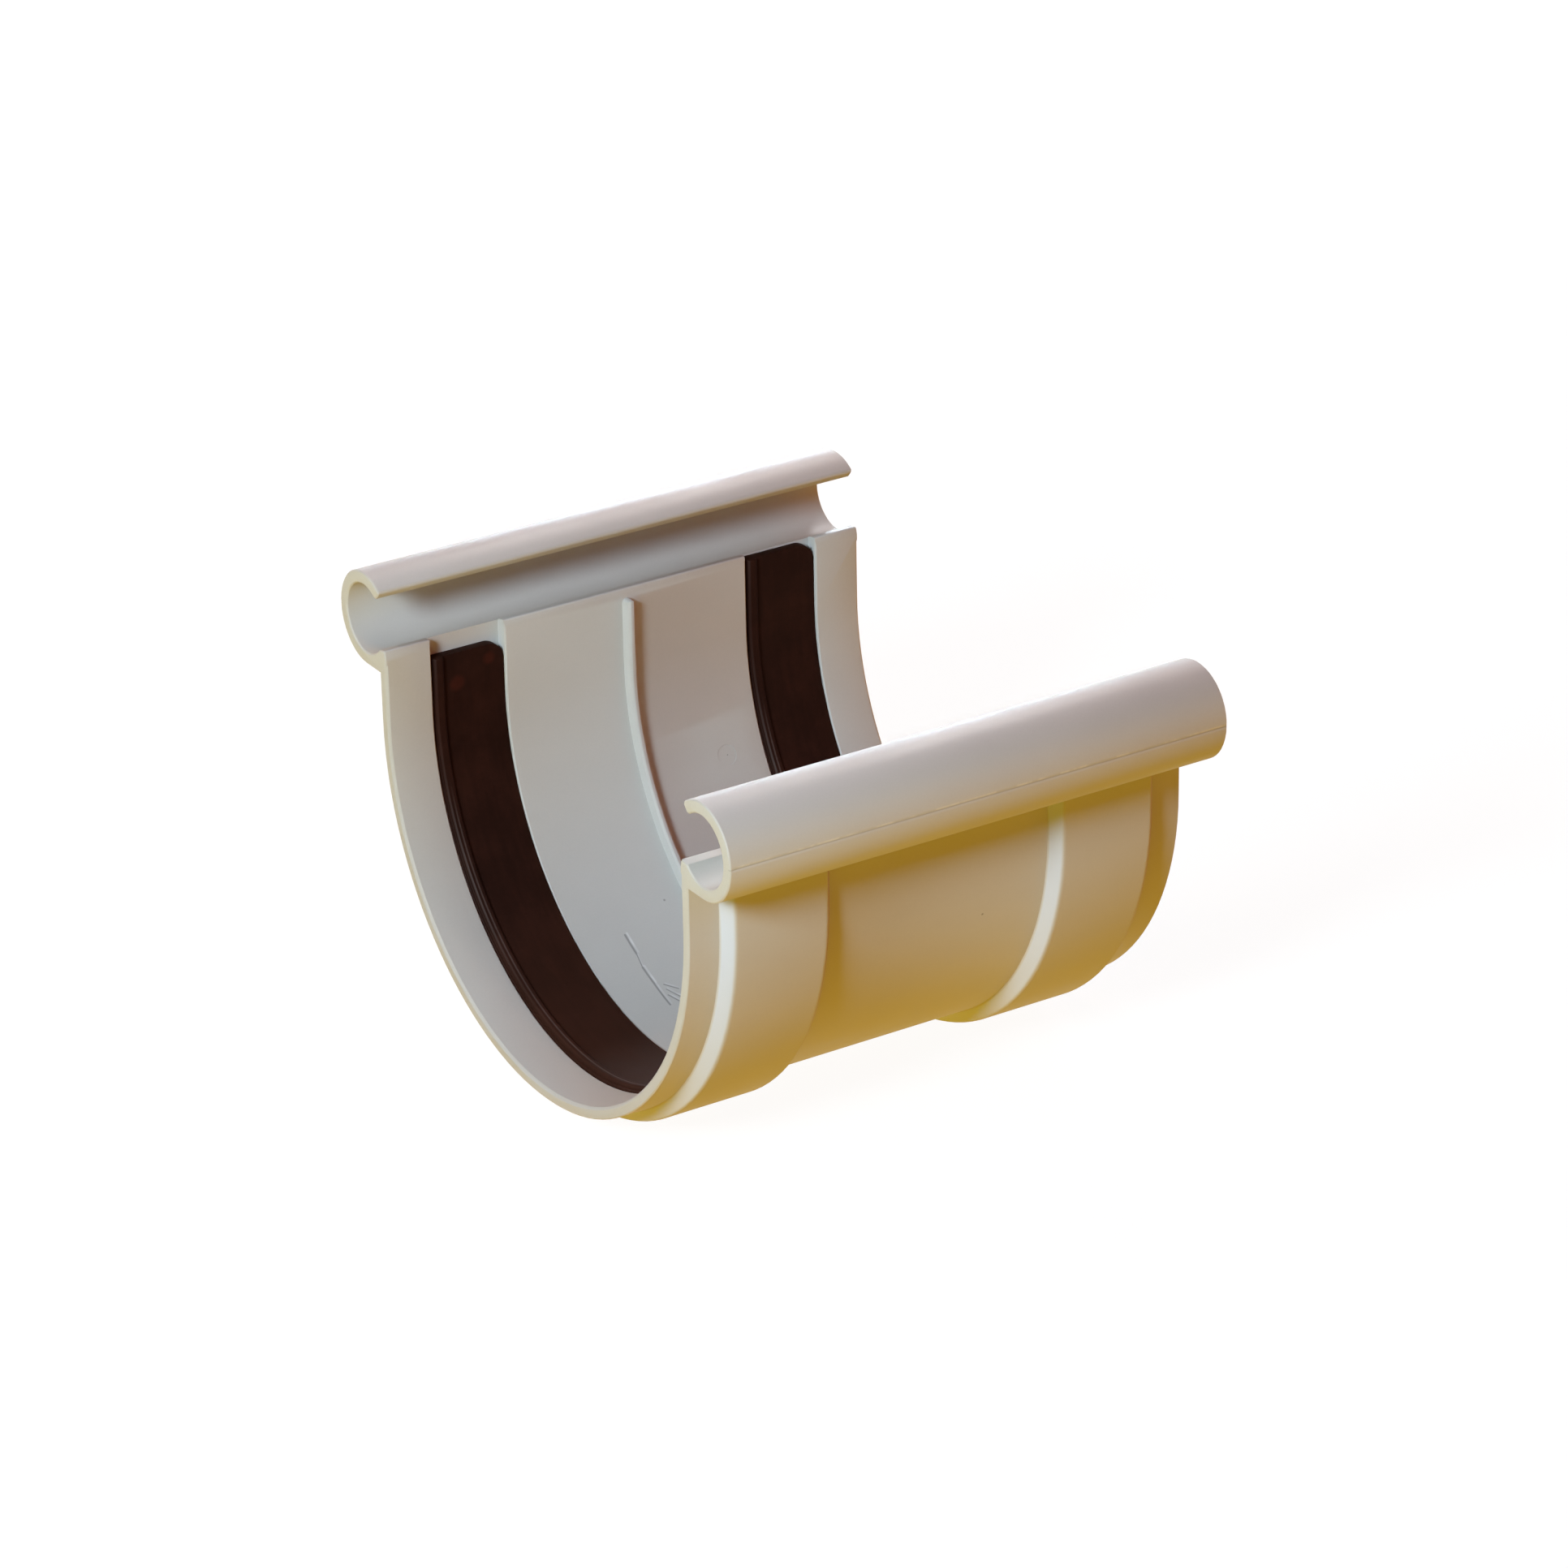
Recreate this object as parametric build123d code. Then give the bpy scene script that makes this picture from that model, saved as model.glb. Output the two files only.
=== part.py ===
from build123d import *
import os
from math import cos, radians, sin

# Half-round gutter union for a 125 mm system: one moulded PVC body and two rubber seals.
# +X runs along the gutter, +Y across it and +Z up. The origin is midway along the union,
# on its centre plane, at the lowest line of the two raised seal housings.

# Driving dimensions, in millimetres and degrees
union_length = 128.0
socket_radius = 64.5
wall = 2.8

bead_radius = 8.4
bead_wall = 3.0
channel_gap = 0.7
channel_floor = 14.95
lip_angle = 130.0
ridge_angle = 222.0
ridge_peak_rise = 0.5
ridge_peak_setback = 0.5
ridge_face_height = 1.8
lip_rounding = 0.8
ridge_rounding = 0.4
mouth_chamfer = 0.6
edge_chamfer = 0.3

seal_inset = 21.6
pocket_width = 19.5
pocket_depth = 3.2
pocket_chamfer = 0.3
housing_side_wall = 2.05
housing_flank_run = 2.15
housing_rounding = 1.4

stop_rib_height = 2.7
stop_rib_top_width = 1.65
stop_rib_base_width = 2.4
stop_rib_chamfer = 0.45
stop_rib_top_gap = 0.5

seal_web = 2.4
seal_lip_height = 1.0
seal_lip_width = 2.5
seal_lip_inset = 0.7
seal_lip_chamfer = 0.45
seal_bottom_swell = 1.2
seal_side_gap = 0.1
seal_near_corner_radius = 0.6
seal_far_corner_radius = 4.2
seal_high_end_gap = 0.8
seal_low_end_gap = 4.7

# Sizes that follow from them
outer_radius = socket_radius + wall
mid_wall_radius = socket_radius + wall / 2
pocket_radius = socket_radius + pocket_depth
housing_radius = pocket_radius + wall
bead_outer_radius = bead_radius + bead_wall
bead_y = socket_radius + channel_gap + bead_radius
bead_rise = channel_floor + bead_radius
bead_bottom = bead_rise - bead_outer_radius
ridge_y = bead_y + bead_radius * cos(radians(ridge_angle))
ridge_z = bead_rise + bead_radius * sin(radians(ridge_angle))
ridge_peak_y = socket_radius + ridge_peak_setback
ridge_peak_z = ridge_z + ridge_peak_rise
wall_top = ridge_peak_z - ridge_face_height
half_length = union_length / 2
seal_place = half_length - seal_inset
half_pocket = pocket_width / 2
half_seal = half_pocket - seal_side_gap
half_housing_top = half_pocket + housing_side_wall
half_housing_base = half_housing_top + housing_flank_run
stop_rib_top = wall_top - stop_rib_top_gap
to_base_origin = Pos(0, 0, housing_radius)


def closed_face(points):
    """Face inside straight lines through the points."""
    return make_face(Polyline(*points, close=True))


def corners_near(face, places, reach=0.01):
    """Corners of a flat face that lie at the given places."""
    spots = [Vector(x, y) for x, y in places]
    return [
        corner
        for corner in face.vertices()
        if any((Vector(corner) - spot).length < reach for spot in spots)
    ]


def half_round(section, height):
    """Carry a section, drawn as place along X against radius in Y, round the trough and up both sides."""
    trough = revolve(section, Axis.X, revolution_arc=-180)
    back_upright = extrude(section, height)
    return trough + back_upright + mirror(back_upright, Plane.XZ)


def wall_section():
    """Wall with its two raised seal housings, before the pockets are cut."""
    outline = [(-half_length, socket_radius), (-half_length, outer_radius)]
    housing_corners = []
    for place in (-seal_place, seal_place):
        top = [(place - half_housing_top, housing_radius), (place + half_housing_top, housing_radius)]
        outline += [(place - half_housing_base, outer_radius)] + top
        outline += [(place + half_housing_base, outer_radius)]
        housing_corners += top
    outline += [(half_length, outer_radius), (half_length, socket_radius)]
    section = closed_face(outline)
    section = fillet(corners_near(section, housing_corners), housing_rounding)
    outer_corners = [(-half_length, outer_radius), (half_length, outer_radius)]
    section = chamfer(corners_near(section, outer_corners), edge_chamfer)
    mouth_corners = [(-half_length, socket_radius), (half_length, socket_radius)]
    return chamfer(corners_near(section, mouth_corners), mouth_chamfer)


def pocket_section(place):
    """Pocket that takes one seal, with a small chamfer at its mouth."""
    mouth = half_pocket + pocket_chamfer
    clear_radius = socket_radius - wall
    outline = [
        (place - mouth, clear_radius),
        (place - mouth, socket_radius),
        (place - half_pocket, socket_radius + pocket_chamfer),
        (place - half_pocket, pocket_radius),
        (place + half_pocket, pocket_radius),
        (place + half_pocket, socket_radius + pocket_chamfer),
        (place + mouth, socket_radius),
        (place + mouth, clear_radius),
    ]
    return closed_face(outline)


def round_the_bead(radius, angle):
    """Point of the rim profile at a radius and an angle round the bead's centre."""
    return (
        bead_y + radius * cos(radians(angle)),
        bead_rise + radius * sin(radians(angle)),
    )


def rim_profile():
    """Bead channel in cross-section: a C open to the inside, on a web that joins it to the wall top."""
    bead_centre = Pos(bead_y, bead_rise)
    ring = bead_centre * (Circle(bead_outer_radius) - Circle(bead_radius))
    reach = 3 * bead_outer_radius
    mouth = closed_face(
        [
            (bead_y, bead_rise),
            round_the_bead(reach, lip_angle),
            round_the_bead(reach, ridge_angle),
        ]
    )
    web = closed_face(
        [
            (socket_radius, channel_floor),
            (mid_wall_radius, bead_bottom),
            (bead_y, bead_bottom),
            (bead_y, bead_rise),
            (ridge_y, ridge_z),
            (ridge_peak_y, ridge_peak_z),
            (socket_radius, wall_top),
        ]
    )
    profile = ring - mouth + (web - bead_centre * Circle(bead_radius))
    lip_corners = [round_the_bead(radius, lip_angle) for radius in (bead_radius, bead_outer_radius)]
    profile = fillet(corners_near(profile, lip_corners), lip_rounding)
    ridge_corners = [(ridge_y, ridge_z), (ridge_peak_y, ridge_peak_z)]
    return fillet(corners_near(profile, ridge_corners), ridge_rounding)


def rims():
    """Both bead channels, the full length of the union, with their end edges eased."""
    back_rim = extrude(Plane.YZ * rim_profile(), half_length, both=True)
    end_faces = back_rim.faces().filter_by(Axis.X)
    back_rim = chamfer(end_faces.edges(), edge_chamfer)
    return back_rim + mirror(back_rim, Plane.XZ)


def stop_rib():
    """Low rib round the middle of the inside, where each gutter end stops, with rounded upper ends."""
    half_base = stop_rib_base_width / 2
    half_top = stop_rib_top_width / 2
    crest_radius = socket_radius - stop_rib_height
    crest = [(-half_top, crest_radius), (half_top, crest_radius)]
    outline = [(-half_base, mid_wall_radius), (-half_base, socket_radius)] + crest
    outline += [(half_base, socket_radius), (half_base, mid_wall_radius)]
    section = closed_face(outline)
    section = chamfer(corners_near(section, crest), stop_rib_chamfer)
    rib = half_round(section, stop_rib_top)
    tall = stop_rib_top - half_base
    strip = Pos(0, (tall - housing_radius) / 2) * Rectangle(stop_rib_base_width, tall + housing_radius)
    outline_seen_flat = strip + Pos(0, tall) * Circle(half_base)
    return rib & extrude(Plane.XZ * outline_seen_flat, housing_radius, both=True)


def union_body():
    """The one moulded piece: half-round wall, seal housings, stop rib and two bead channels."""
    body = half_round(wall_section(), channel_floor) + rims() + stop_rib()
    for place in (-seal_place, seal_place):
        body -= half_round(pocket_section(place), ridge_z + bead_wall)
    return body


def seal_section():
    """Seal in section: a flat web with one chamfered lip near its -X edge, drawn past its pocket floor."""
    web_radius = pocket_radius - seal_web
    lip_radius = web_radius - seal_lip_height
    root_radius = pocket_radius + 2 * seal_bottom_swell
    section = closed_face(
        [
            (-half_seal, root_radius),
            (-half_seal, web_radius),
            (half_seal, web_radius),
            (half_seal, root_radius),
        ]
    )
    lip_edges = [seal_lip_inset - half_seal, seal_lip_inset + seal_lip_width - half_seal]
    crest = [(edge, lip_radius) for edge in lip_edges]
    lip = closed_face([(lip_edges[0], pocket_radius), *crest, (lip_edges[1], pocket_radius)])
    return section + chamfer(corners_near(lip, crest), seal_lip_chamfer)


def rounded_end(top, side):
    """Space that one half of a seal may fill, seen flat: its top corner is cut well round on the +X side only."""
    height = top + housing_radius
    outline = Pos(0, top - height / 2) * Rectangle(2 * half_seal, height)
    outline = fillet(corners_near(outline, [(-half_seal, top)]), seal_near_corner_radius)
    outline = fillet(corners_near(outline, [(half_seal, top)]), seal_far_corner_radius)
    return extrude(Plane.XZ * outline, -side * housing_radius)


def seal(front_gap, back_gap):
    """Rubber strip that fills one pocket and stands highest at the bottom, with its ends cut round."""
    strip = Pos(0, 0, seal_bottom_swell) * half_round(seal_section(), ridge_z)
    pocket_section_to_axis = closed_face(
        [
            (-half_pocket, 0),
            (half_pocket, 0),
            (half_pocket, pocket_radius),
            (-half_pocket, pocket_radius),
        ]
    )
    pocket_space = half_round(pocket_section_to_axis, ridge_z)
    ends = rounded_end(ridge_z - front_gap, -1) + rounded_end(ridge_z - back_gap, 1)
    return strip & pocket_space & ends


def write_nodes(nodes):
    """Write each piece to its own file, seated on the base origin."""
    os.makedirs("parts", exist_ok=True)
    for name, piece in nodes.items():
        export_step(to_base_origin * piece, f"parts/{name}.step")


nodes = {
    "union_body": union_body(),
    "left_seal": Pos(-seal_place, 0, 0) * seal(seal_high_end_gap, seal_low_end_gap),
    "right_seal": Pos(seal_place, 0, 0) * seal(seal_low_end_gap, seal_high_end_gap),
}
write_nodes(nodes)
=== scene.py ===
import math

import bpy
from bpy.props import FloatProperty, FloatVectorProperty, PointerProperty
from mathutils import Matrix, Vector


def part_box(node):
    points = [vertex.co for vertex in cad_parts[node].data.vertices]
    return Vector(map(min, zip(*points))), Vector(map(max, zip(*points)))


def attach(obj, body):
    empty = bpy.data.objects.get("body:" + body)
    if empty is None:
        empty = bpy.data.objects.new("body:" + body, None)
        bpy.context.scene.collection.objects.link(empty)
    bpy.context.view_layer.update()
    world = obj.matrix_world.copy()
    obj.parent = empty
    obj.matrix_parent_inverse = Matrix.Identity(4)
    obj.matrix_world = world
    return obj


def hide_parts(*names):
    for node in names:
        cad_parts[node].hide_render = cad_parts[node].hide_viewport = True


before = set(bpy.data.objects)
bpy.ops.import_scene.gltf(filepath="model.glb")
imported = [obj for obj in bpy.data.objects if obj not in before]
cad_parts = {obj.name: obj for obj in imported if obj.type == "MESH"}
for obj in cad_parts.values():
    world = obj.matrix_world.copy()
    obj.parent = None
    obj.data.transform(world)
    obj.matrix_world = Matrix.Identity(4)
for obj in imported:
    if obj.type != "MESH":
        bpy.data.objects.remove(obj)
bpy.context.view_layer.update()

bl_info = {
    "name": "Gutter Union",
    "version": (1, 0, 0),
    "blender": (4, 5, 0),
    "location": "View3D > Sidebar > Gutter Union",
    "description": "Finishes a half-round gutter union with its two rubber seals and sets its studio",
    "category": "Add Mesh",
}

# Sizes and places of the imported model, in metres
BODY_HIGH = Vector(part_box("union_body")[1])
TROUGH_AXIS_HEIGHT = 0.0705
WALL_OUTER_RADIUS = 0.0673
CHANNEL_RADIUS = 0.0114
CHANNEL_HEIGHT = BODY_HIGH.z - CHANNEL_RADIUS
CHANNEL_BOTTOM = CHANNEL_HEIGHT - CHANNEL_RADIUS
HOUSING_MIDDLES = (-0.0424, 0.0424)
FLANK_OFFSET = 0.0129
FLANK_HALF_WIDTH = 0.0011
LIP_MIDDLES = (-0.0501, 0.0347)
EJECTOR_MARK_PLACE = (0.0225, 0.0581, 0.0425)

# Making of the pieces: angles at an edge, distances in metres, shares of a parting line's half width,
# reaches in an ejector mark's radii, and how squarely a face looks out or in
FLAT_ANGLE = math.radians(0.3)
SHARP_ANGLE = math.radians(29)
SMOOTH_ANGLE = math.radians(35)
MERGE_DISTANCE = 0.000002
OUTERMOST_DEPTH = 0.0006
CUTTER_LENGTH = 0.004
CUTTER_SIDES = 48
PARTING_FLANK = 0.5
PARTING_TOLERANCE = 0.1
MARK_EDGE = 2
MARK_REACH = 3
LOOKS_OUT = 0.97
LOOKS_IN = 0.9

# Patterns in the finishes, in cells to the metre, how far they are drawn out, and their relief in metres
PVC_CLOUDS = 45.0
PVC_FLOW = 160.0
PVC_FLOW_STRETCH = (0.35, 1.0, 1.0)
PVC_GRAIN = 2600.0
PARTING_HIGHLIGHT_BREAKS = 180.0
PARTING_HIGHLIGHT_STRETCH = (1.0, 0.1, 0.1)
RUBBER_BLOOM = 90.0
RUBBER_STREAKS = 700.0
STREAK_STRETCH = (1.0, 0.12, 0.12)
RUBBER_GRAIN = 3200.0
RELIEF_DEPTH = 0.00003
PATTERN_MIDDLE = 0.5

# Where a mark fades in: the place or distance at which it begins, and the one at which it is whole, in metres
OUTERMOST_FADE = (BODY_HIGH.y - 0.001, BODY_HIGH.y - 0.0005)
PARTING_SHADE_FADE = (0.00022, 0.00005)
PARTING_HIGHLIGHT_RISE = 0.0004
PARTING_HIGHLIGHT_FADE = (0.00035, 0.0001)
PROUD_FADE = (WALL_OUTER_RADIUS + 0.0001, WALL_OUTER_RADIUS + 0.0005)
BELOW_CHANNEL_FADE = (CHANNEL_BOTTOM + 0.0003, CHANNEL_BOTTOM - 0.0002)
LIP_FADE = (0.0003, 0.0001)
LOW_ON_LIP_FADE = (0.055, 0.04)
LOW_DOWN_FADE = (0.03, 0.004)

# Where a pattern fades in, as values of its noise
PARTING_HIGHLIGHT_BREAKS_FADE = (0.42, 0.6)
BURR_PATCHES_FADE = (0.4, 0.6)
BLOOM_FADE = (0.35, 0.75)

# What is left of a burr, and of the painted highlight along a lip, where their patterns are lowest
BURR_LEAST = 0.3
LIP_HIGHLIGHT_LEAST = 0.35

# How high each pattern stands in its skin's relief, as a share of the relief's depth
PVC_GRAIN_RELIEF = 0.25
PVC_FLOW_RELIEF = 0.6
BURR_RELIEF = 0.6
RUBBER_RELIEF = 0.5

# How much the flow adds to the PVC's clouding, and how much each pattern adds to the rubber's bloom
FLOW_CLOUDING = 0.5
BLOOM_CLOUDS = 0.6
BLOOM_STREAKS = 0.25
BLOOM_GRAIN = 0.15

# How far the roughness swings with each pattern
PVC_FLOW_ROUGHNESS = 0.12
PVC_GRAIN_ROUGHNESS = 0.06
BLOOM_ROUGHNESS = 0.15
RUBBER_GRAIN_ROUGHNESS = 0.1

# Fades across a band, a spot, a groove and its burr, as shares of the half width or radius
BAND_FADE = (1.3, 0.7)
SPOT_CORE = 0.4
GROOVE_CORE = 0.3
BURR_FADE = (1.1, 0.2)
BURR_OFFSET = (1.6, 1.0, 0.0)

# Marks of use, and patches of painted warm reflection on the seals: scratches as start, end and half width,
# and spots as place and radius, in metres
SCRATCHES = (
    ((-0.0202, 0.0352, 0.0165), (-0.0201, 0.0304, 0.0136), 0.00042),
    ((-0.0201, 0.0304, 0.0136), (-0.0207, 0.0267, 0.0118), 0.0002),
    ((-0.0207, 0.0267, 0.0118), (-0.0207, 0.0216, 0.0097), 0.0004),
    ((-0.0207, 0.0216, 0.0097), (-0.0210, 0.0141, 0.0075), 0.00036),
    ((-0.0187, 0.0206, 0.0094), (-0.0163, 0.0182, 0.0086), 0.00028),
    ((-0.0190, 0.0190, 0.0090), (-0.0172, 0.0155, 0.0079), 0.00028),
    ((-0.0196, 0.0172, 0.0084), (-0.0184, 0.0145, 0.0077), 0.00028),
)
SPECKS = (
    ((-0.0066, 0.0399, 0.0198), 0.0004),
    ((0.0125, -0.0653, 0.0542), 0.0004),
    ((-0.0239, -0.0664, 0.0816), 0.0003),
    ((0.0227, 0.0581, 0.0425), 0.0003),
)
# Patches of painted warm reflection on the left seal
WARM_REFLECTION_PATCHES = (
    ((-0.0367, 0.0646, 0.0801), 0.0022),
    ((-0.0452, 0.0651, 0.0759), 0.0026),
)
DUST = (
    ((-0.0402, -0.0069, 0.0056), 0.00035),
    ((-0.0442, 0.0235, 0.0096), 0.0003),
    ((-0.0377, 0.0406, 0.0194), 0.0003),
    ((-0.0351, 0.0388, 0.0180), 0.0003),
)

# Each mark's strength, as the share of the surface's colour that it covers, and its own colour
PVC_MARKS = {
    # Painted highlight: pale bluish colour on the housing flanks that face the main lamp
    "flank highlight": (1.0, (0.54, 0.575, 0.65)),
    # Painted shadow: dark reddish colour on the housing flanks that face away from the main lamp
    "flank shadow": (0.7, (0.34, 0.17, 0.18)),
    "speck": (0.5, (0.08, 0.07, 0.05)),
    # Painted shade: a dark line along the crest of each bead channel's parting line
    "parting shade": (0.3, (0.15, 0.13, 0.11)),
    # Painted highlight: a pale broken line just above each parting line
    "parting highlight": (0.3, (0.8, 0.79, 0.75)),
    "scratch": (0.65, (0.17, 0.165, 0.16)),
    "burr": (0.5, (0.85, 0.85, 0.85)),
}
RUBBER_MARKS = {
    # Paler and warmer towards the bottom of the seals
    "paler low down": (0.5, (0.045, 0.016, 0.009)),
    # Painted reflection: warm red patches on the seal
    "warm reflection patch": (0.6, (0.09, 0.018, 0.01)),
    # Painted highlight: a pale line along the lower part of each seal's lip
    "lip highlight": (0.5, (0.16, 0.12, 0.11)),
    "dust": (0.5, (0.4, 0.34, 0.3)),
}

# Studio: sizes and distances in metres, and where its light fades in, as places or as parts of a direction
FLOOR_SIZE = 12.0
FLOOR_DROP = 0.00005
FLOOR_PAPER = (0.12, 0.12, 0.12)
WHITE = (1.0, 1.0, 1.0)
UNDER_FADE = (0.15, 0.08)
UNDER_EXTRA = 0.2
LAMP_SIDE_FADE = (-0.1, -0.3)
FILL_SIDE_FADE = (-0.1, 0.35)
FILL_TOP_FADE = (0.9, 0.7)
LAMP_DISTANCE = 1.2
LAMP_AIM = Vector((0, 0, 0.06))
SENSOR_WIDTH = 36
NEAREST_SEEN = 0.05


# Making of finishes


class Wire:
    """A number that varies over a surface. Sums written with it add the Math nodes that work them out."""

    def __init__(self, finish, socket):
        self.finish = finish
        self.socket = socket

    def __add__(self, other):
        return self.finish.calculate("ADD", self, other)

    def __radd__(self, other):
        return self.finish.calculate("ADD", other, self)

    def __sub__(self, other):
        return self.finish.calculate("SUBTRACT", self, other)

    def __rsub__(self, other):
        return self.finish.calculate("SUBTRACT", other, self)

    def __mul__(self, other):
        return self.finish.calculate("MULTIPLY", self, other)

    def __rmul__(self, other):
        return self.finish.calculate("MULTIPLY", other, self)

    def __abs__(self):
        return self.finish.calculate("ABSOLUTE", self)


class Finish:
    """The nodes of a material or of the surroundings, and the one method through which they are added."""

    def __init__(self, owner):
        owner.use_nodes = True
        self.owner = owner
        self.tree = owner.node_tree
        self.tree.nodes.clear()

    def add(self, kind, settings=None, inputs=None, output=0):
        """Add a node, make its settings, then give its sockets their values or wires."""
        node = self.tree.nodes.new(kind)
        for name, setting in (settings or {}).items():
            setattr(node, name, setting)
        for key, value in (inputs or {}).items():
            if isinstance(value, Wire):
                self.tree.links.new(value.socket, node.inputs[key])
            else:
                node.inputs[key].default_value = value
        return Wire(self, node.outputs[output]) if node.outputs else None

    def calculate(self, operation, *numbers):
        """Work out one step of a sum with a Math node."""
        return self.add("ShaderNodeMath", {"operation": operation}, dict(enumerate(numbers)))

    def measure(self, operation, first, second):
        """Work out a number from two vectors with a Vector Math node."""
        vectors = {0: first, 1: second}
        return self.add("ShaderNodeVectorMath", {"operation": operation}, vectors, output="Value")

    def greatest(self, shares):
        """The greatest of several wires."""
        most = shares[0]
        for share in shares[1:]:
            most = self.calculate("MAXIMUM", most, share)
        return most

    def position(self):
        """Place on the object, in metres."""
        return self.add("ShaderNodeTexCoord", output="Object")

    def axes(self, place):
        """The three parts of a place or of a direction."""
        parts = self.add("ShaderNodeSeparateXYZ", None, {0: place}).socket.node.outputs
        return [Wire(self, part) for part in parts]

    def noise(self, place, cells, detail=2.0, roughness=0.5, stretch=(1.0, 1.0, 1.0)):
        """Soft noise from 0 to 1, with so many cells to the metre."""
        stretched = self.add(
            "ShaderNodeMapping",
            {"vector_type": "POINT"},
            {"Vector": place, "Scale": stretch},
        )
        values = {"Vector": stretched, "Scale": cells, "Detail": detail, "Roughness": roughness}
        return self.add("ShaderNodeTexNoise", {"noise_dimensions": "3D"}, values, output="Fac")

    def swing(self, pattern, reach):
        """A pattern's rise and fall about its middle, with the given reach."""
        return reach * (pattern - PATTERN_MIDDLE)

    def between(self, value, start, whole):
        """0 until the value reaches the start, 1 once it is past the whole, and smooth between them."""
        settings = {"interpolation_type": "SMOOTHSTEP", "clamp": True}
        inputs = {"Value": value, "From Min": start, "From Max": whole}
        return self.add("ShaderNodeMapRange", settings, inputs)

    def band(self, value, middle, half_width):
        """1 in a band on both sides of a middle value and 0 outside it."""
        start, whole = (share * half_width for share in BAND_FADE)
        return self.between(abs(value - middle), start, whole)

    def spots(self, place, spots):
        """1 in the middle of each of several round spots and 0 outside them."""
        shares = []
        for middle, radius in spots:
            distance = self.distance_to_place(place, middle)
            shares.append(self.between(distance, radius, SPOT_CORE * radius))
        return self.greatest(shares)

    def distance_to_place(self, place, spot):
        """Distance from a place, in metres."""
        return self.measure("DISTANCE", place, spot)

    def distance_to_line(self, place, start, end):
        """Distance from a straight line between two places, in metres."""
        run = end - start
        away = self.add("ShaderNodeVectorMath", {"operation": "SUBTRACT"}, {0: place, 1: start})
        along = self.measure("DOT_PRODUCT", away, run) * (1 / run.length_squared)
        share = self.add("ShaderNodeClamp", None, {"Value": along})
        foot = self.add("ShaderNodeVectorMath", {"operation": "SCALE"}, {0: run, "Scale": share})
        return self.distance_to_place(away, foot)

    def tint(self, share, first, second):
        """Colour between the first and the second, by the share."""
        colours = [colour if isinstance(colour, Wire) else (*colour, 1.0) for colour in (first, second)]
        settings = {"data_type": "RGBA", "blend_type": "MIX", "clamp_factor": True}
        return self.add("ShaderNodeMix", settings, {0: share, 6: colours[0], 7: colours[1]}, output=2)

    def marked(self, colour, marks, shares):
        """The colour with each mark laid over it in turn, by the mark's strength and its share there."""
        for name, share in shares.items():
            strength, mark_colour = marks[name]
            colour = self.tint(strength * share, colour, mark_colour)
        return colour

    def skin(self, colour, roughness, height, sheen):
        """Surface of that colour, roughness and fine relief, with that strength of its reflections."""
        relief = {"Strength": 1.0, "Distance": RELIEF_DEPTH, "Height": height}
        return self.add(
            "ShaderNodeBsdfPrincipled",
            None,
            {
                "Base Color": colour,
                "Roughness": roughness,
                "Normal": self.add("ShaderNodeBump", None, relief),
                "Specular IOR Level": sheen,
            },
        )

    def light(self, colour, strength, kind="ShaderNodeEmission"):
        """Light of that colour and strength."""
        return self.add(kind, None, {"Color": (*colour, 1.0), "Strength": strength})

    def seen_directly(self):
        """1 for rays that show a surface, straight or in gloss or glass, and 0 for the light it gives."""
        kinds = ("Is Camera Ray", "Is Glossy Ray", "Is Transmission Ray")
        return self.greatest([self.add("ShaderNodeLightPath", output=kind) for kind in kinds])

    def show(self, shader, kind="ShaderNodeOutputMaterial"):
        """Make the shader the finish's surface."""
        self.add(kind, None, {"Surface": shader})
        return self.owner


def scratches(finish, place):
    """1 in the grooves of the scratches, and 1 on the burrs beside them."""
    grooves = []
    burrs = []
    for start, end, half_width in SCRATCHES:
        groove = [Vector(start), Vector(end)]
        beside = [corner + half_width * Vector(BURR_OFFSET) for corner in groove]
        gap = finish.distance_to_line(place, *groove)
        burr_gap = finish.distance_to_line(place, *beside)
        burr_start, burr_whole = (share * half_width for share in BURR_FADE)
        grooves.append(finish.between(gap, half_width, GROOVE_CORE * half_width))
        burrs.append(finish.between(burr_gap, burr_start, burr_whole))
    return finish.greatest(grooves), finish.greatest(burrs)


def housing_flanks(finish, place, side):
    """1 on the flanks of both seal housings that face the given side, below the bead channels."""
    x, _, z = finish.axes(place)
    trough_axis = finish.add("ShaderNodeCombineXYZ", None, {"X": x, "Z": TROUGH_AXIS_HEIGHT})
    proud = finish.between(finish.distance_to_place(place, trough_axis), *PROUD_FADE)
    flanks = [
        finish.band(x, middle + side * FLANK_OFFSET, FLANK_HALF_WIDTH)
        for middle in HOUSING_MIDDLES
    ]
    return proud * finish.between(z, *BELOW_CHANNEL_FADE) * finish.greatest(flanks)


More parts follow.
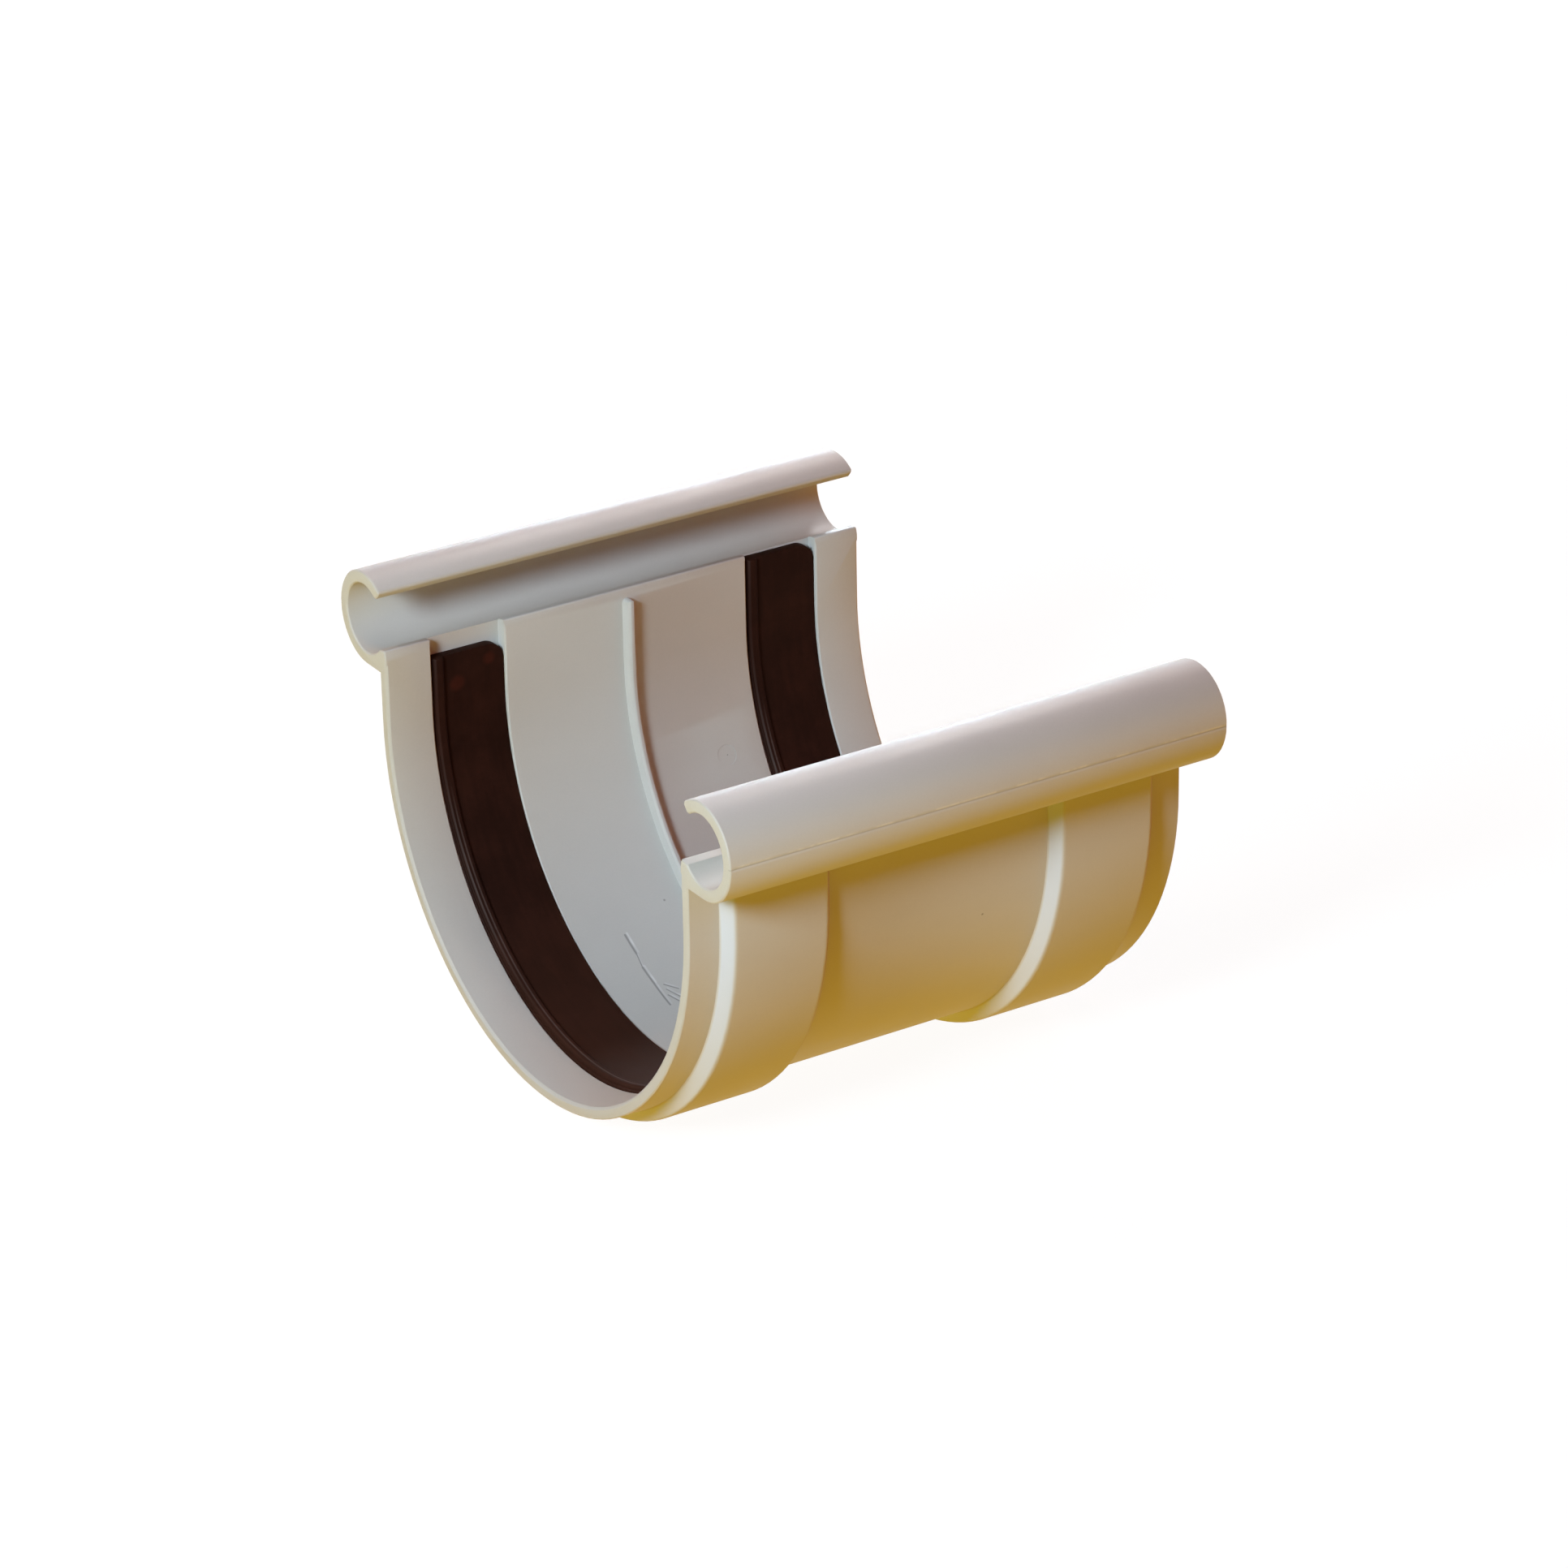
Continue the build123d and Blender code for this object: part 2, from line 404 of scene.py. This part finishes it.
def moulded_pvc(look):
    """Grey moulded PVC: a soft sheen, faint flow marks, a few specks, scratches where gutters slid in, and
    painted light and shade on the housing flanks and along the parting lines.
    """
    finish = Finish(bpy.data.materials.new("moulded_pvc"))
    place = finish.position()
    _, y, z = finish.axes(place)

    clouds = finish.noise(place, PVC_CLOUDS, detail=3.0)
    flow = finish.noise(place, PVC_FLOW, detail=3.0, roughness=0.6, stretch=PVC_FLOW_STRETCH)
    grain = finish.noise(place, PVC_GRAIN)
    shade = finish.swing(clouds, look.clouding) + finish.swing(flow, FLOW_CLOUDING * look.clouding)
    shade = shade + finish.swing(grain, look.graininess)
    darkest = [part * (1 - look.greatest_shade) for part in look.colour]
    lightest = [part * (1 + look.greatest_shade) for part in look.colour]
    lightness = PATTERN_MIDDLE + PATTERN_MIDDLE / look.greatest_shade * shade
    base = finish.tint(lightness, darkest, lightest)

    scratch, burr = scratches(finish, place)
    burr = burr * (BURR_LEAST + (1 - BURR_LEAST) * finish.between(flow, *BURR_PATCHES_FADE))

    # Where the painted shade and the broken painted highlight lie along each parting line
    outermost = finish.between(abs(y), *OUTERMOST_FADE)
    breaks = finish.noise(place, PARTING_HIGHLIGHT_BREAKS, detail=3.0, roughness=0.6, stretch=PARTING_HIGHLIGHT_STRETCH)
    parting_highlight_line = finish.between(abs(z - (CHANNEL_HEIGHT + PARTING_HIGHLIGHT_RISE)), *PARTING_HIGHLIGHT_FADE)

    shares = {
        # Painted highlight on the housing flanks that face the main lamp
        "flank highlight": housing_flanks(finish, place, -1),
        # Painted shadow on the housing flanks that face away from the main lamp
        "flank shadow": housing_flanks(finish, place, 1),
        "speck": finish.spots(place, SPECKS),
        # Painted shade along the parting line's crest
        "parting shade": outermost * finish.between(abs(z - CHANNEL_HEIGHT), *PARTING_SHADE_FADE),
        # Broken painted highlight just above the parting line
        "parting highlight": outermost * finish.between(breaks, *PARTING_HIGHLIGHT_BREAKS_FADE) * parting_highlight_line,
        "scratch": scratch,
        "burr": burr,
    }
    colour = finish.marked(base, PVC_MARKS, shares)
    roughness = look.roughness + finish.swing(flow, PVC_FLOW_ROUGHNESS)
    roughness = roughness + finish.swing(grain, PVC_GRAIN_ROUGHNESS)
    height = PVC_GRAIN_RELIEF * grain + PVC_FLOW_RELIEF * flow - scratch + BURR_RELIEF * burr
    return finish.show(finish.skin(colour, roughness, height, look.sheen))


def seal_rubber(look):
    """Dark brown sealing rubber with a dull bloom, paler low down, a painted highlight along the lips, a few
    patches of painted warm reflection, and dust.
    """
    finish = Finish(bpy.data.materials.new("seal_rubber"))
    place = finish.position()
    x, _, z = finish.axes(place)

    bloom = finish.noise(place, RUBBER_BLOOM, detail=4.0, roughness=0.6)
    streaks = finish.noise(place, RUBBER_STREAKS, detail=3.0, stretch=STREAK_STRETCH)
    grain = finish.noise(place, RUBBER_GRAIN)
    mixed = BLOOM_CLOUDS * bloom + BLOOM_STREAKS * streaks + BLOOM_GRAIN * grain
    bloomed = finish.between(mixed, *BLOOM_FADE)
    darkest = [part * look.darkest for part in look.colour]
    palest = [part * look.palest for part in look.colour]
    base = finish.tint(bloomed, darkest, palest)

    # Painted highlight along the lower part of each seal's lip, broken by the bloom
    on_lips = finish.greatest([finish.between(abs(x - middle), *LIP_FADE) for middle in LIP_MIDDLES])
    lip_highlight_breaks = LIP_HIGHLIGHT_LEAST + (1 - LIP_HIGHLIGHT_LEAST) * bloom
    shares = {
        # Paler and warmer towards the bottom of the seals
        "paler low down": finish.between(z, *LOW_DOWN_FADE),
        # Painted warm reflection in patches
        "warm reflection patch": finish.spots(place, WARM_REFLECTION_PATCHES) * bloom,
        # Painted highlight along each seal's lip
        "lip highlight": on_lips * finish.between(z, *LOW_ON_LIP_FADE) * lip_highlight_breaks,
        "dust": finish.spots(place, DUST),
    }
    colour = finish.marked(base, RUBBER_MARKS, shares)
    roughness = look.roughness + finish.swing(bloom, BLOOM_ROUGHNESS)
    roughness = roughness + finish.swing(grain, RUBBER_GRAIN_ROUGHNESS)
    height = RUBBER_RELIEF * grain + RUBBER_RELIEF * streaks
    return finish.show(finish.skin(colour, roughness, height, look.sheen))


def studio_floor(studio):
    """Floor that looks pale and keeps the object's shadow, and that throws warm light up on the object."""
    finish = Finish(bpy.data.materials.new("studio_floor"))
    paper = finish.add("ShaderNodeBsdfDiffuse", None, {"Color": (*FLOOR_PAPER, 1.0)})
    pale = finish.add("ShaderNodeAddShader", None, {0: paper, 1: finish.light(WHITE, studio.floor_lift)})

    place = finish.position()
    under = finish.between(finish.distance_to_place(place, (0.0, 0.0, 0.0)), *UNDER_FADE)
    lamp_side = finish.between(finish.axes(place)[0], *LAMP_SIDE_FADE)
    warm = finish.light(studio.floor_light, studio.floor_level * (1.0 + UNDER_EXTRA * under))
    side = finish.light(studio.side_light, studio.side_level * lamp_side)
    thrown = finish.add("ShaderNodeAddShader", None, {0: warm, 1: side})
    shown = finish.add("ShaderNodeMixShader", None, {0: finish.seen_directly(), 1: thrown, 2: pale})
    return finish.show(shown)


# Making of pieces


def select_only(piece):
    """Leave one object selected and active."""
    bpy.ops.object.select_all(action="DESELECT")
    piece.select_set(True)
    bpy.context.view_layer.objects.active = piece


def merged_copy(node_name, name):
    """Copy of a CAD node as one closed skin, with its flat faces made whole."""
    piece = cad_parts[node_name].copy()
    piece.data = piece.data.copy()
    piece.parent = None
    piece.name = name
    piece.data.name = name
    bpy.context.scene.collection.objects.link(piece)
    select_only(piece)
    bpy.ops.mesh.customdata_custom_splitnormals_clear()
    bpy.ops.object.mode_set(mode="EDIT")
    bpy.ops.mesh.select_all(action="SELECT")
    bpy.ops.mesh.remove_doubles(threshold=MERGE_DISTANCE)
    bpy.ops.mesh.dissolve_limited(angle_limit=FLAT_ANGLE, use_dissolve_boundaries=False)
    bpy.ops.object.mode_set(mode="OBJECT")
    return piece


def soften_edges(width, segments):
    """Round the active piece's sharp edges by a hair's breadth."""
    bpy.ops.object.mode_set(mode="EDIT")
    bpy.ops.mesh.select_all(action="DESELECT")
    bpy.ops.mesh.select_mode(type="EDGE")
    bpy.ops.mesh.edges_select_sharp(sharpness=SHARP_ANGLE)
    bpy.ops.mesh.bevel(offset=width, segments=segments, profile=0.5, clamp_overlap=True, loop_slide=True)
    bpy.ops.object.mode_set(mode="OBJECT")


def select_parts(parts, kind, wanted):
    """Select the active piece's faces or corners that pass the test, and leave the piece in edit mode."""
    bpy.ops.object.mode_set(mode="EDIT")
    bpy.ops.mesh.select_mode(type=kind)
    bpy.ops.mesh.select_all(action="DESELECT")
    bpy.ops.object.mode_set(mode="OBJECT")
    for part in parts:
        part.select = wanted(part)
    bpy.ops.object.mode_set(mode="EDIT")


def cut_across(piece, wanted, place, direction):
    """Cut an edge into the faces that pass the test, where a plane crosses them."""
    select_parts(piece.data.polygons, "FACE", wanted)
    bpy.ops.mesh.bisect(plane_co=place, plane_no=direction)
    bpy.ops.object.mode_set(mode="OBJECT")


def raise_parting_line(piece, side, half_width, height):
    """Leave a fine moulding line along the outside of one bead channel, by easing both its flanks in."""
    outermost = BODY_HIGH.y - OUTERMOST_DEPTH
    flank = PARTING_FLANK * half_width

    def on_channel(face):
        return side * face.center.y > outermost and abs(face.normal.y) > LOOKS_OUT

    def on_flank(corner):
        rise = abs(corner.co.z - CHANNEL_HEIGHT)
        return side * corner.co.y > outermost and abs(rise - flank) < PARTING_TOLERANCE * half_width

    for offset in (-half_width, -flank, flank, half_width):
        cut_across(piece, on_channel, (0, 0, CHANNEL_HEIGHT + offset), (0, 0, 1))
    select_parts(piece.data.vertices, "VERT", on_flank)
    bpy.ops.transform.translate(value=(0, -side * height, 0))
    bpy.ops.object.mode_set(mode="OBJECT")


def sink_ejector_mark(piece, spot, radius, depth):
    """Sink a shallow round mark into the wall of the trough, where a pin pushed the moulding out."""
    outward = Vector((0, spot.y, spot.z - TROUGH_AXIS_HEIGHT)).normalized()

    def on_wall_here(face):
        beside = Vector((spot.x, face.center.y, face.center.z))
        return (beside - spot).length < MARK_REACH * radius and face.normal.dot(outward) < -LOOKS_IN

    for edge in (spot.x - MARK_EDGE * radius, spot.x + MARK_EDGE * radius):
        cut_across(piece, on_wall_here, (edge, 0, 0), (1, 0, 0))

    bpy.ops.object.select_all(action="DESELECT")
    bpy.ops.mesh.primitive_cylinder_add(
        vertices=CUTTER_SIDES,
        radius=radius,
        depth=CUTTER_LENGTH,
        location=spot + outward * (depth - CUTTER_LENGTH / 2),
        rotation=outward.to_track_quat("Z", "Y").to_euler(),
    )
    cutter = bpy.context.object
    select_only(piece)
    cut = piece.modifiers.new("ejector_mark", "BOOLEAN")
    cut.operation = "DIFFERENCE"
    cut.solver = "EXACT"
    cut.object = cutter
    bpy.ops.object.modifier_apply(modifier=cut.name)
    bpy.data.objects.remove(cutter, do_unlink=True)


def finish_piece(piece, material, node_name):
    """Shade the piece, give it its material and let it stand for its CAD node."""
    select_only(piece)
    bpy.ops.object.shade_smooth_by_angle(angle=SMOOTH_ANGLE)
    piece.data.materials.clear()
    piece.data.materials.append(material)
    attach(piece, "root")
    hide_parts(node_name)


# Sizes and colours that a user would change


class StudioSettings(bpy.types.PropertyGroup):
    """Camera, lamps, floor and surroundings."""

    azimuth: FloatProperty(
        name="Azimuth",
        description="Turn of the camera round the union",
        default=math.radians(-31.73),
        subtype="ANGLE",
    )
    elevation: FloatProperty(
        name="Elevation",
        description="Height of the camera above the floor",
        default=math.radians(25.35),
        subtype="ANGLE",
    )
    roll: FloatProperty(
        name="Roll",
        description="Turn of the camera about its own line of sight",
        default=math.radians(-1.12),
        subtype="ANGLE",
    )
    distance: FloatProperty(
        name="Distance",
        description="Distance of the camera from its aim",
        default=1.429,
        unit="LENGTH",
    )
    lens: FloatProperty(
        name="Lens",
        description="Focal length in millimetres",
        default=145.28,
        min=10,
    )
    aim: FloatVectorProperty(
        name="Aim",
        description="Place that the camera looks at",
        default=(0.000212, -0.003251, 0.064897),
        subtype="TRANSLATION",
        precision=6,
    )
    main_turn: FloatProperty(
        name="Main lamp turn",
        description="Turn of the main lamp from +X towards +Y",
        default=math.radians(209),
        subtype="ANGLE",
    )
    main_rise: FloatProperty(
        name="Main lamp rise",
        description="Height of the main lamp above the floor",
        default=math.radians(29),
        subtype="ANGLE",
    )
    lamp_size: FloatProperty(
        name="Lamp size",
        description="Width of each lamp",
        default=0.3,
        unit="LENGTH",
    )
    main_colour: FloatVectorProperty(
        name="Main lamp colour",
        description="Colour of the main lamp and of the rear lamp",
        default=(0.715, 0.88, 1.0),
        subtype="COLOR",
        min=0,
        max=1,
    )
    main_level: FloatProperty(
        name="Main lamp level",
        description="Strength of the main lamp, where 1 shows a colour as written",
        default=1.064,
        min=0,
    )
    main_gloss: FloatProperty(
        name="Main lamp gloss",
        description="Strength of the main lamp's twin that shows in gloss alone",
        default=6.0,
        min=0,
    )
    glint_turn: FloatProperty(
        name="Glint turn",
        description="Turn of the lamp behind the beads' highlights from +X towards +Y",
        default=math.radians(50.8),
        subtype="ANGLE",
    )
    glint_rise: FloatProperty(
        name="Glint rise",
        description="Height of that lamp above the floor",
        default=math.radians(41),
        subtype="ANGLE",
    )
    glint_level: FloatProperty(
        name="Glint level",
        description="Strength of that lamp, which shows in gloss alone",
        default=3.8,
        min=0,
    )
    back_turn: FloatProperty(
        name="Back lamp turn",
        description="Turn of the back lamp from +X towards +Y",
        default=math.radians(113),
        subtype="ANGLE",
    )
    back_rise: FloatProperty(
        name="Back lamp rise",
        description="Height of the back lamp above the floor",
        default=math.radians(49),
        subtype="ANGLE",
    )
    back_colour: FloatVectorProperty(
        name="Back lamp colour",
        description="Colour of the back lamp",
        default=(0.9, 0.557, 0.36),
        subtype="COLOR",
        min=0,
        max=1,
    )
    back_level: FloatProperty(
        name="Back lamp level",
        description="Strength of the back lamp, where 1 shows a colour as written",
        default=0.318,
        min=0,
    )
    rear_turn: FloatProperty(
        name="Rear lamp turn",
        description="Turn of the lamp for the far sides, from +X towards +Y",
        default=math.radians(62),
        subtype="ANGLE",
    )
    rear_rise: FloatProperty(
        name="Rear lamp rise",
        description="Height of the rear lamp above the floor",
        default=math.radians(7),
        subtype="ANGLE",
    )
    rear_level: FloatProperty(
        name="Rear lamp level",
        description="Strength of the rear lamp, where 1 shows a colour as written",
        default=0.9,
        min=0,
    )
    fill_colour: FloatVectorProperty(
        name="Fill colour",
        description="Colour of the light from the side away from the main lamp",
        default=(0.614, 0.167, 0.106),
        subtype="COLOR",
        min=0,
        max=1,
    )
    floor_light: FloatVectorProperty(
        name="Floor light",
        description="Colour of the light that the floor throws back",
        default=(0.975, 0.561, 0.0),
        subtype="COLOR",
        min=0,
        max=1,
    )
    floor_level: FloatProperty(
        name="Floor level",
        description="Strength of the light that the floor throws back",
        default=0.832,
        min=0,
    )
    side_light: FloatVectorProperty(
        name="Side light",
        description="Colour of the light off the floor on the main lamp's side",
        default=(0.9, 1.0, 0.3),
        subtype="COLOR",
        min=0,
        max=1,
    )
    side_level: FloatProperty(
        name="Side level",
        description="Strength of the light off the floor on the main lamp's side",
        default=0.5,
        min=0,
    )
    floor_lift: FloatProperty(
        name="Floor lift",
        description="How far the floor's own paleness fills its shadows",
        default=0.93,
        min=0,
    )


class MouldingSettings(bpy.types.PropertyGroup):
    """The moulded body."""

    edge_softness: FloatProperty(
        name="Edge softness",
        description="Rounding of the sharp edges",
        default=0.00015,
        unit="LENGTH",
        precision=5,
    )
    parting_width: FloatProperty(
        name="Parting line width",
        description="Half the width of the moulding line on each bead channel",
        default=0.0003,
        unit="LENGTH",
        precision=5,
    )
    parting_height: FloatProperty(
        name="Parting line height",
        description="Height of the moulding line above its flanks",
        default=0.00005,
        unit="LENGTH",
        precision=5,
    )
    mark_radius: FloatProperty(
        name="Ejector mark radius",
        description="Radius of the round ejector marks",
        default=0.0025,
        unit="LENGTH",
        precision=4,
    )
    mark_depth: FloatProperty(
        name="Ejector mark depth",
        description="Depth of the round ejector marks",
        default=0.00012,
        unit="LENGTH",
        precision=5,
    )
    colour: FloatVectorProperty(
        name="Colour",
        description="Colour of the PVC",
        default=(0.49, 0.475, 0.45),
        subtype="COLOR",
        min=0,
        max=1,
    )
    greatest_shade: FloatProperty(
        name="Greatest shade",
        description="Share of the colour by which it varies at the most",
        default=0.1,
        min=0.01,
        max=1,
    )
    clouding: FloatProperty(
        name="Clouding",
        description="How far the colour varies in clouds",
        default=0.07,
        min=0,
        max=1,
    )
    graininess: FloatProperty(
        name="Graininess",
        description="How far the colour varies from grain to grain",
        default=0.06,
        min=0,
        max=1,
    )
    roughness: FloatProperty(
        name="Roughness",
        description="Roughness of the moulded skin",
        default=0.55,
        min=0,
        max=1,
    )
    sheen: FloatProperty(
        name="Sheen",
        description="Strength of the reflections",
        default=0.05,
        min=0,
        max=1,
    )


class SealSettings(bpy.types.PropertyGroup):
    """The rubber seals."""

    edge_softness: FloatProperty(
        name="Edge softness",
        description="Rounding of the sharp edges",
        default=0.00025,
        unit="LENGTH",
        precision=5,
    )
    colour: FloatVectorProperty(
        name="Colour",
        description="Colour of the rubber",
        default=(0.021, 0.0068, 0.0042),
        subtype="COLOR",
        min=0,
        max=1,
        precision=4,
    )
    darkest: FloatProperty(
        name="Darkest",
        description="Share of the colour that is left where no bloom lies",
        default=0.8,
        min=0,
    )
    palest: FloatProperty(
        name="Palest",
        description="How many times the colour the full bloom is",
        default=1.5,
        min=0,
    )
    roughness: FloatProperty(
        name="Roughness",
        description="Roughness of the rubber",
        default=0.5,
        min=0,
        max=1,
    )
    sheen: FloatProperty(
        name="Sheen",
        description="Strength of the reflections",
        default=0.025,
        min=0,
        max=1,
    )


# Operators


class GUTTER_OT_studio(bpy.types.Operator):
    """Set up the camera, the floor, the lamps and the surroundings"""

    bl_idname = "gutter.studio"
    bl_label = "Set Up Studio"

    def execute(self, context):
        studio = context.scene.gutter_studio
        context.scene.view_settings.view_transform = "Standard"
        self.place_camera(context, studio)
        self.lay_floor(studio)
        main = (studio.main_turn, studio.main_rise, studio.lamp_size)
        back = (studio.back_turn, studio.back_rise, studio.lamp_size)
        rear = (studio.rear_turn, studio.rear_rise, studio.lamp_size)
        glint = (studio.glint_turn, studio.glint_rise, studio.lamp_size)
        self.hang_lamp("main_lamp", *main, studio.main_level, studio.main_colour)
        self.hang_lamp("back_lamp", *back, studio.back_level, studio.back_colour)
        self.hang_lamp("rear_lamp", *rear, studio.rear_level, studio.main_colour)
        self.hang_lamp("main_gloss", *main, studio.main_gloss, WHITE).visible_diffuse = False
        self.hang_lamp("bead_gloss", *glint, studio.glint_level, WHITE).visible_diffuse = False
        self.light_surroundings(context, studio)
        return {"FINISHED"}

    def place_camera(self, context, studio):
        """Aim the camera at the union from its azimuth, elevation and distance."""
        level = math.cos(studio.elevation)
        sideways = math.sin(studio.azimuth) * level
        forwards = math.cos(studio.azimuth) * level
        back = Vector((sideways, -forwards, math.sin(studio.elevation)))
        right = back.cross(Vector((0, 0, -1))).normalized()
        up = back.cross(right)
        turn = Matrix((right, up, back)).transposed() @ Matrix.Rotation(studio.roll, 3, "Z")
        lens = bpy.data.cameras.new("camera")
        lens.lens = studio.lens
        lens.sensor_width = SENSOR_WIDTH
        lens.clip_start = NEAREST_SEEN
        camera = bpy.data.objects.new("camera", lens)
        camera.matrix_world = Matrix.Translation(Vector(studio.aim) + back * studio.distance) @ turn.to_4x4()
        context.scene.collection.objects.link(camera)
        context.scene.camera = camera

    def lay_floor(self, studio):
        """Lay the floor just under the union."""
        bpy.ops.object.select_all(action="DESELECT")
        bpy.ops.mesh.primitive_plane_add(size=FLOOR_SIZE, location=(0, 0, -FLOOR_DROP))
        floor = bpy.context.object
        floor.name = "floor"
        floor.data.materials.append(studio_floor(studio))

    def hang_lamp(self, name, turn, rise, size, level, colour):
        """Hang a round lamp whose level of 1 shows the colour of what faces it as written."""
        reach = math.cos(rise)
        side = Vector((math.cos(turn) * reach, math.sin(turn) * reach, math.sin(rise)))
        light = bpy.data.lights.new(name, "AREA")
        light.shape = "DISK"
        light.size = size
        light.color = colour
        light.energy = level * math.pi**2 * LAMP_DISTANCE**2
        lamp = bpy.data.objects.new(name, light)
        lamp.location = LAMP_AIM + side * LAMP_DISTANCE
        lamp.rotation_euler = side.to_track_quat("Z", "Y").to_euler()
        bpy.context.scene.collection.objects.link(lamp)
        return lamp

    def light_surroundings(self, context, studio):
        """Show white all round, and light the union from the side away from the main lamp."""
        world = bpy.data.worlds.new("surroundings")
        context.scene.world = world
        finish = Finish(world)
        sideways, _, upwards = finish.axes(finish.add("ShaderNodeTexCoord", output="Generated"))
        share = finish.between(sideways, *FILL_SIDE_FADE) * finish.between(upwards, *FILL_TOP_FADE)
        fill = finish.light(studio.fill_colour, share, "ShaderNodeBackground")
        white = finish.light(WHITE, 1.0, "ShaderNodeBackground")
        shown = finish.add("ShaderNodeMixShader", None, {0: finish.seen_directly(), 1: fill, 2: white})
        finish.show(shown, "ShaderNodeOutputWorld")


class GUTTER_OT_moulding(bpy.types.Operator):
    """Make the moulded body, with its softened edges, parting lines and ejector marks"""

    bl_idname = "gutter.moulding"
    bl_label = "Make Moulded Body"

    def execute(self, context):
        look = context.scene.gutter_moulding
        body = merged_copy("union_body", "moulded_body")
        soften_edges(look.edge_softness, segments=2)
        for side in (-1, 1):
            raise_parting_line(body, side, look.parting_width, look.parting_height)
        across, out, height = EJECTOR_MARK_PLACE
        for side in (-1, 1):
            sink_ejector_mark(body, Vector((across, side * out, height)), look.mark_radius, look.mark_depth)
        finish_piece(body, moulded_pvc(look), "union_body")
        return {"FINISHED"}


class GUTTER_OT_seals(bpy.types.Operator):
    """Make the two rubber seals"""

    bl_idname = "gutter.seals"
    bl_label = "Make Rubber Seals"

    def execute(self, context):
        look = context.scene.gutter_seals
        rubber = seal_rubber(look)
        for side in ("left", "right"):
            seal = merged_copy(f"{side}_seal", f"{side}_rubber_seal")
            soften_edges(look.edge_softness, segments=3)
            finish_piece(seal, rubber, f"{side}_seal")
        return {"FINISHED"}


class GUTTER_PT_panel(bpy.types.Panel):
    """The union's settings and the steps that make it"""

    bl_idname = "GUTTER_PT_panel"
    bl_label = "Gutter Union"
    bl_space_type = "VIEW_3D"
    bl_region_type = "UI"
    bl_category = "Gutter Union"

    def draw(self, context):
        scene = context.scene
        for operator, settings in (
            (GUTTER_OT_studio, scene.gutter_studio),
            (GUTTER_OT_moulding, scene.gutter_moulding),
            (GUTTER_OT_seals, scene.gutter_seals),
        ):
            box = self.layout.box()
            box.operator(operator.bl_idname)
            for name in settings.__annotations__:
                box.prop(settings, name)


CLASSES = (
    StudioSettings,
    MouldingSettings,
    SealSettings,
    GUTTER_OT_studio,
    GUTTER_OT_moulding,
    GUTTER_OT_seals,
    GUTTER_PT_panel,
)


def register():
    """Register the classes and give the scene its settings."""
    for kind in CLASSES:
        bpy.utils.register_class(kind)
    bpy.types.Scene.gutter_studio = PointerProperty(type=StudioSettings)
    bpy.types.Scene.gutter_moulding = PointerProperty(type=MouldingSettings)
    bpy.types.Scene.gutter_seals = PointerProperty(type=SealSettings)


def unregister():
    """Take the settings and the classes away again."""
    del bpy.types.Scene.gutter_seals
    del bpy.types.Scene.gutter_moulding
    del bpy.types.Scene.gutter_studio
    for kind in reversed(CLASSES):
        bpy.utils.unregister_class(kind)


def main():
    """Make the studio and every piece."""
    register()
    bpy.ops.gutter.studio()
    bpy.ops.gutter.moulding()
    bpy.ops.gutter.seals()
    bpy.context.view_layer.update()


if __name__ == "__main__":
    main()
